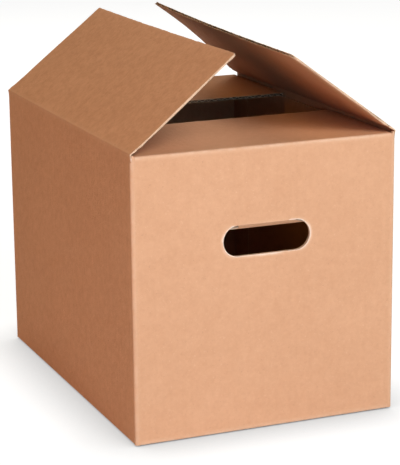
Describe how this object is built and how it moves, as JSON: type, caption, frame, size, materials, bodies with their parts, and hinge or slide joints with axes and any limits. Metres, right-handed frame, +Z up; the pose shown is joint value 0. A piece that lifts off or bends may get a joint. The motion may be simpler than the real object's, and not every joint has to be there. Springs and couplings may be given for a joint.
{
  "type": "corrugated shipping box",
  "caption": "Slotted carton of fluted board with hand holes in its ends, end flaps folded in and long flaps half open.",
  "frame": {"origin": "middle of the underside, on the surface that the box stands on", "axes": "+X across the ends that carry the hand holes, towards the right long flap; +Y along the box, away from the shown end; +Z up"},
  "size_m": [0.29, 0.405, 0.39],
  "materials": {
    "kraft_board": "matt brown kraft liner over fluted board"
  },
  "bodies": {
    "box": {"box_body": "kraft_board"},
    "left_flap": {"left_flap": "kraft_board"},
    "right_flap": {"right_flap": "kraft_board"}
  },
  "joints": [
    {"name": "left_flap_score", "type": "hinge", "parent": "box", "child": "left_flap", "pos_m": [-0.145, 0, 0.3], "axis": [0, -1, 0], "range_deg": [-33, 222]},
    {"name": "right_flap_score", "type": "hinge", "parent": "box", "child": "right_flap", "pos_m": [0.145, 0, 0.3], "axis": [0, 1, 0], "range_deg": [-33.5, 221.5]}
  ]
}
